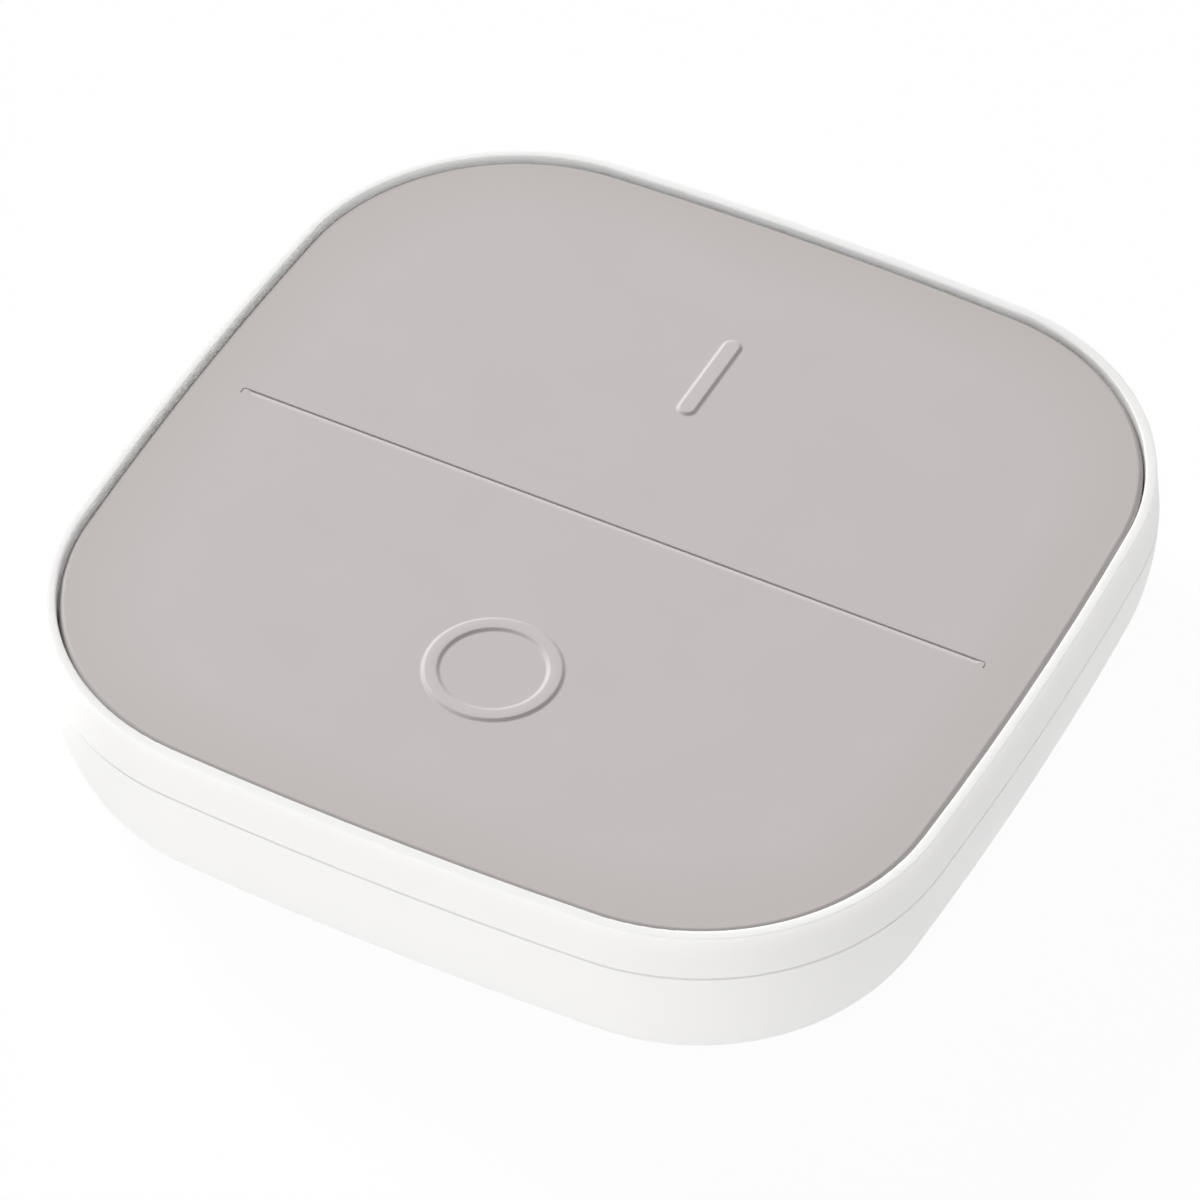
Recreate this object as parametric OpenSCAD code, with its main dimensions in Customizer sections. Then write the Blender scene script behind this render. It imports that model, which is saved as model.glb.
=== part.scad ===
// Square wireless wall or table button with a rocking face, 80 mm wide
// Origin on the table under the middle of the part; X runs along the groove, Z up

/* [Body] */
// Overall width, at the widest level of the lower shell
body_w = 80; // [72:0.5:92]
// Flatness of the gently bowed sides, where a larger number is flatter
side_flat = 38; // [30:1:60]
// Radius of the four corners at the rim's inner edge, kept to within a few hundredths
corner_size = 20.3; // [18:0.1:23]
// Wall thickness of the lower shell
wall = 1.8; // [1.6:0.1:2.2]
// Step between the lower shell's wide upper curve and its tight bottom curve
belly_step = 1.3; // [1.1:0.05:1.4]

/* [Rim] */
// Width of the flat top of the rim
rim_w = 0.8; // [0.4:0.05:1]
// Radius of the rim's outer edge, kept to within two hundredths
rim_edge_r = 0.12; // [0.08:0.04:0.4]
// Radius of the rim's inner edge
rim_in_r = 0.12; // [0.06:0.02:0.2]
// How far the lower shell's widest level stands out past the rim's inner edge
belly_out = 1.35; // [1.2:0.05:1.8]
// Depth of the seam between the two shells below the rim
seam_drop = 4.2; // [4:0.1:4.4]
// Width of the seam's shadow line
seam_gap = 0.1; // [0.1:0.05:0.4]
// Bevel along the lower shell's upper edge
lip_bevel = 0.1; // [0.1:0.05:0.3]

/* [Face] */
// How far the face lies below the rim
face_drop = 0.4; // [0.3:0.05:0.6]
// Gap between the face and the rim
face_gap = 0.18; // [0.16:0.02:0.4]
// Thickness of the face plate
face_t = 1.5; // [1.3:0.1:1.7]
// Radius of the face's top edge
face_edge_r = 0.5; // [0.2:0.05:0.7]
// Distance of the groove's ends from the face's edges
groove_inset = 4.25; // [2:0.05:12]
// How far the groove lies behind the middle
groove_y = 0.43; // [-1:0.01:1]
// Width of the groove at the face
groove_w = 0.78; // [0.5:0.02:1]
// Depth of the groove
groove_deep = 0.2; // [0.15:0.01:0.4]
// Sideways place of the ring mark
ring_x = -0.54; // [-2:0.01:2]
// Distance of the ring mark from the middle
ring_y = 18.35; // [18:0.05:20]
// Outer radius of the ring mark's foot
ring_r = 5.88; // [4.6:0.02:7]
// Line width of the ring mark's foot
ring_w = 1.66; // [1:0.02:2]
// Sideways place of the bar mark
bar_x = -0.45; // [-2:0.01:2]
// Distance of the bar mark's middle from the middle
bar_y = 19.6; // [18.5:0.05:21]
// Length of the bar mark's foot
bar_l = 10.1; // [6:0.1:12]
// Width of the bar mark's foot
bar_w = 1.94; // [1:0.02:2.4]
// How far the marks stand up from the face
mark_h = 0.18; // [0.1:0.02:0.3]
// Width of the slope along the marks' edges
mark_bevel = 0.4; // [0.1:0.02:0.4]

/* [Rocker] */
// Largest tilt of the face either way, in degrees
tilt = 0.8; // [0.4:0.1:0.9]
// Thickness of the plate that carries the face
carrier_t = 1.2; // [1:0.1:1.3]
// Space between the battery bay and the rocker
rocker_room = 1.1; // [1:0.1:2.5]
// Radius of the two pivot pins
pin_r = 1; // [0.8:0.05:1.1]
// Radial clearance of the pins in their bearings
pin_clear = 0.05; // [0.03:0.01:0.08]
// Radius of the silicone domes' flange
dome_r = 5; // [4.4:0.1:5.4]

/* [Power] */
// Diameter of a cell
cell_d = 10.5; // [9.5:0.1:12]
// Length of a cell with its terminal
cell_l = 44.5; // [42:0.1:46]
// Thickness of the battery door
door_t = 1.6; // [1.4:0.05:1.7]
// Gap around the battery door
door_gap = 0.25; // [0.2:0.05:0.4]
// Largest opening angle of the battery door, in degrees
door_open = 75; // [45:5:80]

/* [Board and fasteners] */
// Thickness of the main board
board_t = 1; // [0.8:0.1:1.2]
// Radius of the housing screws' shanks
screw_r = 1; // [0.8:0.05:1.1]
// Radius of a rubber foot
foot_r = 4; // [3.5:0.1:4.4]
// How far the feet stand out below the base
foot_proud = 0.5; // [0.4:0.05:0.7]

/* [Hidden] */
$fn = 64;
big_fn = 256;
// How far pieces of one solid run into each other
lap = 0.4;

// Bowed square outline: four wide side arcs tangent to four corner arcs
// The line from a side arc's centre through a corner's centre is the long side of a whole-number
// right triangle, so both arcs end on exactly the same point of that line
half_w = body_w / 2 - belly_out;
bow_x = 2 * side_flat;
bow_y = side_flat * side_flat - 1;
bow_unit = round((half_w - corner_size) / (bow_x + 2) * 1000) / 1000;
corner_r = half_w - (bow_x + 2) * bow_unit;
corner_c = bow_x * bow_unit;
side_c = bow_y * bow_unit - corner_c;
side_bow_r = (bow_y + 2) * bow_unit + corner_r;
joint_far = [corner_c + 0.1 * bow_x, corner_c + 0.1 * bow_y];
far = 2 * body_w;

// Levels from the table upwards: feet, door, cells, bay roof, rocker, rim
floor_low = foot_proud;
cell_low = floor_low + door_t + 0.15;
cell_z = cell_low + cell_d / 2;
roof_low = cell_low + cell_d + 0.15;
roof_z = roof_low + 0.9;
carrier_low = roof_z + rocker_room;
face_low = carrier_low + carrier_t;
face_z = face_low + face_t;
body_h = face_z + face_drop;
axis_z = carrier_low - 0.9;
board_z = roof_low - 0.9;
seam_low = body_h - seam_drop - seam_gap / 2;
seam_high = seam_low + seam_gap;
belly_z = seam_low - lip_bevel - 0.25;

// Lower shell's curve: a wide arc, then a tight arc that runs into the flat bottom
// The arcs meet on a line of slope 5 in 12
floor_z = floor_low + wall;
belly_h = belly_z - floor_low;
belly_r = belly_h + 8 * belly_step;
toe_r = belly_h - 5 * belly_step;
belly_c = [belly_out - belly_r, belly_z];
toe_c = belly_c + belly_step * [12, -5];
toe_far = toe_c + 10 * [12, -5];
toe_u = [12, -5] / 13;
toe_n = [5, 12] / 13;
floor_o = toe_c[0];
plate_o = floor_o - 1.5;

// Frame's side, which leans out by 40 in 399, and the outer edge rounded into it
lean_x = 40;
lean_z = 399;
lean_l = 401;
lean_far = [lean_z, lean_x] / 10;
lean_grid = 0.0001;
rim_unit = lean_grid * round(rim_edge_r / lean_l / lean_grid);
rim_r = lean_l * rim_unit;
rim_c = [rim_w, body_h - rim_r];
rim_end = rim_c + rim_unit * [lean_z, lean_x];

// Tongue of the lower shell inside the frame
tongue_out = -0.2;
tongue_in = -1.1;
tongue_root = 0.3;
notch_o = -0.15;
tongue_z = seam_low + 1.05;

// Battery bay
bay_l = cell_l / 2 + 2.4;
bay_w = cell_d + 0.4;
bay_wall = 1.2;
cell_y = cell_d / 2 + 0.12;
cell_nub_r = 1.9;
cell_nub_h = 1.2;
cell_edge = 0.6;
contact_t = 0.4;
plate_x = bay_l - contact_t;
terminal_w = 7;
tab_w = 3;
tab_l = 2.6;
hinge_x = -bay_l + door_gap + door_t / 2;
hinge_z = floor_low + door_t / 2;
hinge_r = 0.5;
hinge_in = 1;
bead_w = 4;
bead_h = 0.25;
bead_out = 0.15;
scoop_r = 5;
scoop_deep = 0.9;
tab_gap = 0.1;
slot_w = tab_w + 2 * tab_gap;

// Pivot bearings
lug_x0 = half_w - 3.15;
lug_x1 = half_w - 0.75;
lug_w = 2.6;
lug_z0 = axis_z - pin_r - 0.8;
lug_z1 = face_low - 0.3;
bore_end = half_w - 1;
pin_end = bore_end - 0.3;
ear_x1 = lug_x0 - 0.3;
ear_x0 = ear_x1 - 1.5;
ear_w = 2;
ear_wall = 0.3;
part_gap = 0.4;

// Carrier
carrier_o = -2.2;
peg_p = corner_c + 3;
peg_r = 1.5;
peg_h = 1;
peg_clear = 0.05;
mark_root = 0.2;
groove_root = 0.2 * groove_w;
post_r = 2;
post_h = 0.5;
stiff_y = half_w - 6.15;
stiff_t = 1.2;
stiff_h = 1;
stiff_l = corner_c - 2;

// Housing screws and feet
foot_p = corner_c + (corner_r + floor_o - foot_r - 0.45) / sqrt(2);
boss_r = screw_r + 2;
arm_low = carrier_low - 2.7;
arm_top = carrier_low - 0.7;
arm_w = 5;
head_r = screw_r + 1.1;
head_z = floor_z + 0.5;
head_h = 1.4;
pocket_d = 0.5;
hole_clear = 0.05;
pilot_end = arm_top - 0.3;
screw_end = pilot_end - 0.1;
seat_o = belly_out - 0.3;
diag_in = sqrt(2) * corner_c + corner_r;

// Board
board_p = half_w - 4.6;
win_x = bay_l + bay_wall + 0.35;
win_y = bay_w + bay_wall + 0.35;
bscrew = [board_p - 3.4, win_y + 2.7];
bscrew_r = 0.9;
bscrew_l = 4.6;
bscrew_head = 1.7;
strip_y = (win_y + board_p) / 2;
bpost_r = 2.2;
board_low = board_z - board_t;
radio_size = [10.4, 14, 0.7];
shield_size = [9.2, 8.8, 1];
controller_size = [7, 7, 0.9];
coil_size = [4.6, 4.6, 1.3];
capacitor_size = [3.6, 2.8, 1.2];
crystal_size = [3.2, 2.5, 0.8];
small_size = [1.6, 0.8, 0.45];
trace_w = 0.5;
trace_t = 0.08;
radio_x = dome_r + 0.8 + radio_size[0] / 2;
small_x = dome_r + 0.9 + small_size[0] / 2;
chip_x = small_x + small_size[0] / 2 + 0.7 + controller_size[0] / 2;

// Keypad
pad_h = 0.1;
hub_top = carrier_low - post_h - 0.05;
hub_low = board_z + pad_h + 0.5;
hub_h = hub_top - hub_low;
hub_r = 2.3;
pill_r = 1.5;
pill_t = 0.3;
pad_r = 1.9;
pad_split = 0.4;
dome_pos = [[0, bar_y], [0, -ring_y]];

// One of the four quarter turns of the outline
module quarters() {
    for (i = [0:3])
        rotate(90 * i)
            children();
}

// Quarter of the outline that a side arc bounds
module side_sector() {
    polygon([
        [-corner_c, corner_c],
        [corner_c, corner_c],
        joint_far,
        [-joint_far[0], joint_far[1]]
    ]);
}

// Quarter of the outline that a corner arc bounds
module corner_sector() {
    polygon([
        [corner_c, corner_c],
        [joint_far[1], joint_far[0]],
        [joint_far[1], joint_far[1]],
        joint_far
    ]);
}

// Flat bowed square, its edge moved outwards by o
module outline(o) {
    square(2 * corner_c, center = true);
    quarters() {
        intersection() {
            translate([0, -side_c])
                circle(r = side_bow_r + o, $fn = big_fn);
            side_sector();
        }
        intersection() {
            translate([corner_c, corner_c])
                circle(r = corner_r + o, $fn = big_fn);
            corner_sector();
        }
    }
}

// Profile, drawn as distance out from the rim's inner edge and height, swept around the outline
module sweep_outline() {
    quarters() {
        intersection() {
            translate([0, -side_c])
                rotate_extrude($fn = big_fn)
                    translate([side_bow_r, 0])
                        children();
            linear_extrude(far)
                side_sector();
        }
        intersection() {
            translate([corner_c, corner_c])
                rotate_extrude($fn = big_fn)
                    translate([corner_r, 0])
                        children();
            linear_extrude(far)
                corner_sector();
        }
    }
}

// Quarter disc above its centre, on the outer side for s = 1 or the inner side for s = -1
module quarter_disc(c, r, s = 1) {
    translate(c)
        mirror([(1 - s) / 2, 0])
            intersection() {
                circle(r = r);
                square(2 * r);
            }
}

// Region inside the lower shell's curve, moved in by t, up to the level top
module shell_region(t, top) {
    intersection() {
        translate(belly_c)
            circle(r = belly_r - t, $fn = big_fn);
        polygon([belly_c, toe_far, [toe_far[0], belly_z]]);
    }
    intersection() {
        translate(toe_c)
            circle(r = toe_r - t, $fn = big_fn);
        polygon([toe_c, [toe_c[0], toe_far[1]], toe_far]);
    }
    polygon([
        belly_c,
        toe_c + (toe_r - t - 0.15) * toe_u + 0.2 * toe_n,
        toe_c + (toe_r - t - 0.15) * toe_u - 0.2 * toe_n,
        [toe_c[0], floor_low + t],
        [belly_c[0], floor_low + t]
    ]);
    translate(belly_c)
        square([belly_r - t, top - belly_z]);
}

// Wall of the lower shell, with its tongue and the outer edge of its floor
module shell_profile() {
    intersection() {
        difference() {
            shell_region(0, seam_low);
            shell_region(wall, seam_low + 1);
            polygon([
                [belly_out - lip_bevel, seam_low],
                [belly_out + lip_bevel, seam_low],
                [belly_out + lip_bevel, seam_low - 2 * lip_bevel]
            ]);
        }
        translate([plate_o - lap, 0])
            square([far, far]);
    }
    polygon([
        [tongue_root, seam_low],
        [tongue_out, seam_low],
        [tongue_out, tongue_z],
        [tongue_in, tongue_z],
        [tongue_in, seam_low - 0.9],
        [belly_out - wall, seam_low - 1.7],
        [tongue_root, seam_low - 1.7]
    ]);
}

// Block between two corners
module block(a, b) {
    translate(a)
        cube(b - a);
}

// Block on the +X side, or its mirror image for s = -1
module mirror_block(s, a, b) {
    block([min(s * a[0], s * b[0]), a[1], a[2]], [max(s * a[0], s * b[0]), b[1], b[2]]);
}

// Rectangular chip lying on the board
module chip(p, size) {
    translate([p[0] - size[0] / 2, p[1] - size[1] / 2, board_z])
        cube(size);
}

// Section of a mark's line: foot w wide around x = r, sloping edges and a flat top
module mark_profile(r, w) {
    polygon([
        [r - w / 2, -mark_root],
        [r + w / 2, -mark_root],
        [r + w / 2, 0],
        [r + w / 2 - mark_bevel, mark_h],
        [r - w / 2 + mark_bevel, mark_h],
        [r - w / 2, 0]
    ]);
}

// Section of the groove, open above the face, with its gentler side in front
module groove_profile() {
    polygon([
        [-groove_w / 2, face_t],
        [-groove_w / 2, 0],
        [groove_root, -groove_deep],
        [groove_w / 2, 0],
        [groove_w / 2, face_t]
    ]);
}

// Straight line along Y with revolved ends, l long, from a section w wide about x = 0
module round_ended(l, w) {
    straight = l - w;
    rotate([90, 0, 0])
        translate([0, 0, -straight / 2])
            linear_extrude(straight)
                children();
    for (s = [-1, 1])
        translate([0, s * straight / 2, 0])
            rotate_extrude()
                intersection() {
                    children();
                    translate([0, -far / 2])
                        square(far);
                }
}

module face_plate() {
    edge_o = -face_gap - face_edge_r;
    color("#c4bfbd") {
        difference() {
            union() {
                sweep_outline() {
                    translate([plate_o, face_low])
                        square([-plate_o - face_gap, face_t - face_edge_r]);
                    translate([plate_o, face_low])
                        square([edge_o - plate_o, face_t]);
                    quarter_disc([edge_o, face_z - face_edge_r], face_edge_r);
                }
                translate([0, 0, face_low])
                    linear_extrude(face_t)
                        outline(plate_o + lap);
                for (x = [-peg_p, peg_p], y = [-peg_p, peg_p])
                    translate([x, y, face_low - peg_h])
                        cylinder(r = peg_r, h = peg_h + lap);
            }
            translate([groove_inset + face_gap - half_w, groove_y, face_z])
                rotate([90, 0, 90])
                    linear_extrude(2 * (half_w - face_gap - groove_inset))
                        groove_profile();
        }
        translate([ring_x, -ring_y, face_z])
            rotate_extrude()
                mark_profile(ring_r - ring_w / 2, ring_w);
        translate([bar_x, bar_y, face_z])
            round_ended(bar_l, bar_w)
                mark_profile(0, bar_w);
    }
}

module rocker_carrier() {
    color("#8f8b88") {
        difference() {
            translate([0, 0, carrier_low])
                linear_extrude(carrier_t)
                    outline(carrier_o);
            for (s = [-1, 1])
                mirror_block(s, [ear_x1, -lug_w - part_gap, carrier_low - lap],
                    [far, lug_w + part_gap, face_low + lap]);
            for (x = [-peg_p, peg_p], y = [-peg_p, peg_p])
                translate([x, y, carrier_low - lap])
                    cylinder(r = peg_r + peg_clear, h = carrier_t + 2 * lap);
        }
        for (s = [-1, 1]) {
            mirror_block(s, [ear_x0, -ear_w, axis_z - pin_r - ear_wall],
                [ear_x1, ear_w, carrier_low + lap]);
            translate([s * (ear_x1 - lap), 0, axis_z])
                rotate([0, s * 90, 0])
                    cylinder(r = pin_r, h = pin_end - ear_x1 + lap);
            block([-stiff_l, s * stiff_y - stiff_t / 2, carrier_low - stiff_h],
                [stiff_l, s * stiff_y + stiff_t / 2, carrier_low + lap]);
        }
        for (p = dome_pos)
            translate([p[0], p[1], carrier_low - post_h])
                cylinder(r = post_r, h = post_h + lap);
    }
}

module bezel_frame() {
    color("#f4f3f1")
        difference() {
            union() {
                sweep_outline() {
                    polygon([
                        [0, seam_low],
                        [0, body_h - rim_in_r],
                        [rim_in_r, body_h - rim_in_r],
                        [rim_in_r, body_h],
                        [rim_w, body_h],
                        rim_c,
                        rim_end,
                        [rim_end[0] + lean_x / lean_z * (rim_end[1] - seam_high), seam_high],
                        [seat_o, seam_high],
                        [seat_o, seam_low]
                    ]);
                    intersection() {
                        translate(rim_c)
                            circle(r = rim_r, $fn = big_fn);
                        polygon([
                            rim_c,
                            rim_c + lean_far,
                            rim_c + [lean_far[0], lean_far[0]],
                            rim_c + [0, lean_far[0]]
                        ]);
                    }
                    quarter_disc([rim_in_r, body_h - rim_in_r], rim_in_r, -1);
                }
                for (s = [-1, 1]) {
                    mirror_block(s, [lug_x0, -lug_w, lug_z0], [lug_x1, lug_w, lug_z1]);
                    mirror_block(s, [lug_x1 - lap, -lug_w, seam_high], [half_w + lap, lug_w, lug_z1]);
                }
                quarters()
                    rotate(45) {
                        translate([foot_p * sqrt(2), 0, arm_low])
                            cylinder(r = boss_r + 0.2, h = arm_top - arm_low);
                        block([foot_p * sqrt(2), -arm_w / 2, arm_low],
                            [diag_in - 0.9, arm_w / 2, arm_top]);
                        block([diag_in - 1.7, -arm_w / 2, seam_high],
                            [diag_in + lap, arm_w / 2, arm_top + 0.6]);
                    }
            }
            for (s = [-1, 1])
                translate([s * (lug_x0 - 1), 0, axis_z])
                    rotate([0, s * 90, 0])
                        cylinder(r = pin_r + pin_clear, h = bore_end - lug_x0 + 1);
            for (x = [-foot_p, foot_p], y = [-foot_p, foot_p])
                translate([x, y, arm_low - 1])
                    cylinder(r = screw_r + hole_clear, h = pilot_end - arm_low + 1);
        }
}

module base_shell() {
    color("#f2f1ef")
        difference() {
            union() {
                sweep_outline()
                    shell_profile();
                translate([0, 0, floor_low])
                    linear_extrude(wall)
                        outline(plate_o + lap);
                block([-bay_l - bay_wall, -bay_w - bay_wall, floor_low + lap],
                    [bay_l + bay_wall, bay_w + bay_wall, roof_z]);
                for (x = [-foot_p, foot_p], y = [-foot_p, foot_p])
                    translate([x, y, floor_z - lap])
                        cylinder(r = boss_r, h = arm_low - floor_z + lap);
                for (x = [-bscrew[0], bscrew[0]], y = [-bscrew[1], bscrew[1]])
                    translate([x, y, floor_z - lap])
                        cylinder(r = bpost_r, h = board_low - floor_z + lap);
            }
            block([-bay_l, -bay_w, -1], [bay_l, bay_w, roof_low]);
            translate([bay_l, 0, -1])
                cylinder(r = scoop_r, h = 1 + floor_low + scoop_deep);
            for (s = [-1, 1])
                translate([hinge_x, s * (bay_w - lap), hinge_z])
                    rotate([-s * 90, 0, 0])
                        cylinder(r = hinge_r + pin_clear, h = hinge_in + lap, $fn = 32);
            for (x = [-1, 1], y = [-1, 1])
                mirror_block(x, [bay_l - lap, y * cell_y - slot_w / 2, board_z],
                    [bay_l + bay_wall + lap, y * cell_y + slot_w / 2, board_z + contact_t + tab_gap]);
            for (x = [-foot_p, foot_p], y = [-foot_p, foot_p])
                translate([x, y, 0]) {
                    cylinder(r = foot_r + 0.1, h = floor_low + pocket_d);
                    cylinder(r = head_r + 0.2, h = head_z);
                    cylinder(r = screw_r + 0.2, h = body_h);
                }
            for (x = [-bscrew[0], bscrew[0]], y = [-bscrew[1], bscrew[1]])
                translate([x, y, board_low - bscrew_l - 0.5])
                    cylinder(r = bscrew_r + hole_clear, h = 2 * bscrew_l);
            for (s = [-1, 1])
                mirror_block(s, [lug_x0 - part_gap, -lug_w - part_gap, lug_z0 - part_gap],
                    [half_w + notch_o, lug_w + part_gap, body_h]);
            quarters()
                rotate(45)
                    block([diag_in - 4, -arm_w / 2 - part_gap, arm_low - part_gap],
                        [diag_in + notch_o, arm_w / 2 + part_gap, body_h]);
        }
}

module battery_door() {
    door_w = bay_w - door_gap;
    door_x = bay_l - door_gap;
    color("#efeeec")
        difference() {
            union() {
                block([hinge_x, -door_w, floor_low], [door_x, door_w, floor_low + door_t]);
                translate([hinge_x, door_w, hinge_z])
                    rotate([90, 0, 0])
                        cylinder(r = door_t / 2, h = 2 * door_w);
                translate([hinge_x, door_w + hinge_in, hinge_z])
                    rotate([90, 0, 0])
                        cylinder(r = hinge_r, h = 2 * (door_w + hinge_in), $fn = 32);
                block([door_x - lap, -bead_w, hinge_z - bead_h],
                    [door_x + bead_out, bead_w, hinge_z + bead_h]);
            }
            for (i = [0:3])
                translate([door_x - 4 - 1.6 * i, 0, floor_low])
                    cube([0.7, 12, 0.8], center = true);
        }
}

module battery_cells() {
    color("#3f7f6a")
        for (s = [-1, 1])
            translate([s * (-cell_l / 2 + 0.05), s * cell_y, cell_z])
                rotate([0, s * 90, 0])
                    rotate_extrude()
                        polygon([
                            [0, 0],
                            [cell_d / 2 - cell_edge, 0],
                            [cell_d / 2, cell_edge],
                            [cell_d / 2, cell_l - 0.1 - cell_nub_h - cell_edge],
                            [cell_d / 2 - cell_edge, cell_l - 0.1 - cell_nub_h],
                            [cell_nub_r, cell_l - 0.1 - cell_nub_h],
                            [cell_nub_r, cell_l - 0.3],
                            [cell_nub_r - 0.2, cell_l - 0.1],
                            [0, cell_l - 0.1]
                        ]);
}

// Upright terminal plate against the bay's end wall, with its solder tab over the board
module terminal_plate(y) {
    block([plate_x, y - terminal_w / 2, cell_low + 0.6], [bay_l, y + terminal_w / 2, roof_low - 0.3]);
    block([plate_x, y - tab_w / 2, board_z],
        [win_x + tab_l, y + tab_w / 2, board_z + contact_t]);
}

// Bowed leaf that presses on the flat end of a cell
module leaf(y) {
    reach = plate_x - cell_l / 2;
    half = 3.4;
    bow_r = (half * half + reach * reach) / (2 * reach);
    translate([cell_l / 2 + bow_r, y + 2.4, cell_z])
        rotate([90, 0, 0])
            linear_extrude(4.8)
                intersection() {
                    difference() {
                        circle(r = bow_r);
                        circle(r = bow_r - 0.3);
                    }
                    translate([-2 * bow_r, -bow_r])
                        square([2 * bow_r - bow_r + reach + 0.1, 2 * bow_r]);
                }
}

// Pressed button that meets the raised end of a cell
module contact_button(y) {
    translate([cell_l / 2, y, cell_z])
        rotate([0, 90, 0])
            cylinder(r1 = 1.6, r2 = 2.2, h = plate_x - cell_l / 2 + 0.2);
}

module bridge_contact() {
    color("#c9c6bd") {
        block([plate_x, -cell_y - terminal_w / 2, cell_low + 0.6],
            [bay_l, cell_y + terminal_w / 2, roof_low - 0.3]);
        leaf(cell_y);
        contact_button(-cell_y);
    }
}

module positive_contact() {
    color("#cbc8bf")
        mirror([1, 0, 0]) {
            terminal_plate(cell_y);
            contact_button(cell_y);
        }
}

module negative_contact() {
    color("#c7c4bb")
        mirror([1, 0, 0]) {
            terminal_plate(-cell_y);
            leaf(-cell_y);
        }
}

module main_board() {
    color("#2f6b45")
        translate([0, 0, board_low])
            linear_extrude(board_t)
                difference() {
                    square(2 * board_p, center = true);
                    square([2 * win_x, 2 * win_y], center = true);
                    for (x = [-1, 1], y = [-1, 1])
                        translate([x * foot_p, y * foot_p]) {
                            circle(r = boss_r + 1.2);
                            translate([x * far / 2, y * far / 2])
                                square(far, center = true);
                            translate([x * far / 2, 0])
                                square([far, 2 * (boss_r + 1.2)], center = true);
                            translate([0, y * far / 2])
                                square([2 * (boss_r + 1.2), far], center = true);
                        }
                    for (x = [-bscrew[0], bscrew[0]], y = [-bscrew[1], bscrew[1]])
                        translate([x, y])
                            circle(r = bscrew_r + 0.2);
                }
}

module switch_pads() {
    color("#d2ac4e")
        for (p = dome_pos)
            translate([p[0], p[1], board_z])
                linear_extrude(pad_h)
                    difference() {
                        circle(r = pad_r);
                        square([pad_split, 3 * pad_r], center = true);
                    }
}

module keypad_domes() {
    color("#d8d6d2")
        for (p = dome_pos)
            translate([p[0], p[1], 0])
                rotate_extrude()
                    polygon([
                        [dome_r, board_z],
                        [dome_r, board_z + 0.5],
                        [dome_r - 1, board_z + 0.5],
                        [hub_r + 0.3, hub_low + 0.3 * hub_h],
                        [hub_r, hub_low + 0.45 * hub_h],
                        [hub_r, hub_top - 0.1 * hub_h],
                        [hub_r - 0.2, hub_top],
                        [0, hub_top],
                        [0, hub_low],
                        [hub_r - 0.5, hub_low],
                        [dome_r - 1.7, board_z + 0.25],
                        [dome_r - 1.5, board_z]
                    ]);
}

module carbon_pills() {
    color("#2c2b2a")
        for (p = dome_pos)
            translate([p[0], p[1], hub_low - pill_t])
                cylinder(r = pill_r, h = pill_t);
}

module radio_board() {
    color("#1f3d5c")
        chip([radio_x, strip_y], radio_size);
}

module radio_shield() {
    color("#b9bcbd")
        translate([0, 0, radio_size[2]])
            chip([radio_x, strip_y - 2.1], shield_size);
}

module radio_antenna() {
    back = strip_y + radio_size[1] / 2;
    color("#c98f5a")
        translate([radio_x, back, radio_size[2]]) {
            chip([0, -3.6], [8 + trace_w, trace_w, trace_t]);
            for (i = [-2:2])
                chip([2 * i, -2.3], [trace_w, 3, trace_t]);
            for (i = [-2, 0])
                chip([2 * i + 1, -1], [2 + trace_w, trace_w, trace_t]);
        }
}

module controller_chip() {
    color("#262627")
        chip([-chip_x, strip_y - 2.5], controller_size);
}

module boost_inductor() {
    color("#3a3b3e")
        difference() {
            chip([chip_x, -strip_y], coil_size);
            translate([chip_x, -strip_y, board_z + coil_size[2] - 0.2])
                cylinder(r = coil_size[0] / 3, h = 1);
        }
}

module buffer_capacitors() {
    color("#b08a4a")
        for (i = [-1, 1])
            chip([-chip_x, -strip_y + i * capacitor_size[1]], capacitor_size);
}

module crystal() {
    color("#c3c6c8")
        chip([-chip_x, strip_y + 4], crystal_size);
}

module chip_resistors() {
    color("#35332f")
        for (i = [-2:2]) {
            chip([-small_x, strip_y - 2.5 + 2 * i * small_size[1]], small_size);
            chip([small_x, -strip_y + 2 * i * small_size[1]], small_size);
        }
}

module housing_screws() {
    color("#9b9fa2")
        for (x = [-foot_p, foot_p], y = [-foot_p, foot_p])
            translate([x, y, 0])
                difference() {
                    rotate_extrude()
                        polygon([
                            [0, head_z - head_h],
                            [head_r - 0.3, head_z - head_h],
                            [head_r, head_z - head_h + 0.4],
                            [head_r, head_z],
                            [screw_r, head_z],
                            [screw_r, screw_end - 0.8],
                            [0.3, screw_end],
                            [0, screw_end]
                        ]);
                    for (a = [0, 90])
                        rotate(a)
                            translate([0, 0, head_z - head_h])
                                cube([2.2, 0.5, 1.2], center = true);
                }
}

module board_screws() {
    color("#8d9194")
        for (x = [-bscrew[0], bscrew[0]], y = [-bscrew[1], bscrew[1]])
            translate([x, y, 0])
                difference() {
                    rotate_extrude()
                        polygon([
                            [0, board_low - bscrew_l],
                            [bscrew_r, board_low - bscrew_l + 0.6],
                            [bscrew_r, board_z],
                            [bscrew_head, board_z],
                            [bscrew_head, board_z + 0.7],
                            [bscrew_head - 0.3, board_z + 1],
                            [0, board_z + 1]
                        ]);
                    for (a = [0, 90])
                        rotate(a)
                            translate([0, 0, board_z + 1])
                                cube([1.8, 0.4, 0.9], center = true);
                }
}

module rubber_feet() {
    color("#8b8a88")
        for (x = [-foot_p, foot_p], y = [-foot_p, foot_p])
            translate([x, y, 0])
                rotate_extrude()
                    polygon([
                        [0, 0],
                        [foot_r - 0.3, 0],
                        [foot_r - 0.08, 0.1],
                        [foot_r, 0.3],
                        [foot_r, floor_low + pocket_d],
                        [0, floor_low + pocket_d]
                    ]);
}

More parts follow.
